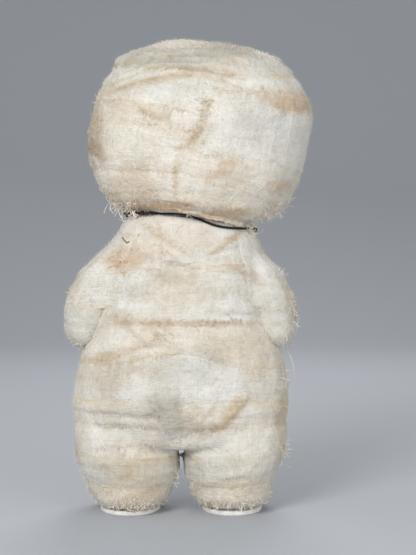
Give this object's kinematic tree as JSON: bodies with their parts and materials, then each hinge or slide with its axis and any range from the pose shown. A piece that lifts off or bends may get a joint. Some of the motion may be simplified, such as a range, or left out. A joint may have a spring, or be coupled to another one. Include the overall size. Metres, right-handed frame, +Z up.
{
  "type": "mummy doll",
  "caption": "Stuffed cloth doll with a large round head, stubby arms and legs, wrapped all over in stained gauze strips, with a thin black cord at the neck.",
  "frame": {"origin": "on the ground, under the middle of the doll's box", "axes": "+Z up through the head; the pictured side faces -Y; +X is to the right in the picture"},
  "size_m": [0.1297, 0.0939, 0.2434],
  "materials": {
    "gauze_cream": "cream cotton gauze",
    "gauze_pale": "off-white cotton gauze",
    "gauze_warm": "tea-stained cotton gauze",
    "gauze_grey": "greyed cotton gauze",
    "gauze_brown": "brown-stained cotton gauze",
    "stuffed_cotton": "plain cotton, fibre filled",
    "sole_felt": "smooth white felt",
    "black_cord": "waxed black cord",
    "thread": "loose cotton thread"
  },
  "bodies": {
    "root": {"head_stuffed": "stuffed_cotton", "body_stuffed": "stuffed_cotton", "arm_left": "stuffed_cotton", "arm_right": "stuffed_cotton", "sole_left": "sole_felt", "sole_right": "sole_felt", "crown_over_strip": "gauze_grey", "crown_turn_top": "gauze_cream", "crown_turn_low": "gauze_grey", "brow_band": "gauze_pale", "temple_strip_left": "gauze_cream", "temple_patch_right": "gauze_pale", "cheek_band": "gauze_cream", "jaw_band": "gauze_warm", "chin_strip": "gauze_brown", "yoke_strip_left": "gauze_cream", "yoke_strip_right": "gauze_pale", "chest_band": "gauze_pale", "waist_band": "gauze_cream", "belly_band": "gauze_pale", "hip_band": "gauze_warm", "thigh_wrap_left": "gauze_grey", "thigh_wrap_right": "gauze_grey", "foot_wrap_left": "gauze_brown", "foot_wrap_right": "gauze_brown", "hand_wrap_left": "gauze_grey", "hand_wrap_right": "gauze_grey", "sleeve_wrap_left": "gauze_pale", "sleeve_wrap_right": "gauze_pale", "neck_cord": "black_cord", "keeper_left": "thread", "keeper_middle": "thread", "keeper_right": "thread"}
  },
  "joints": []
}
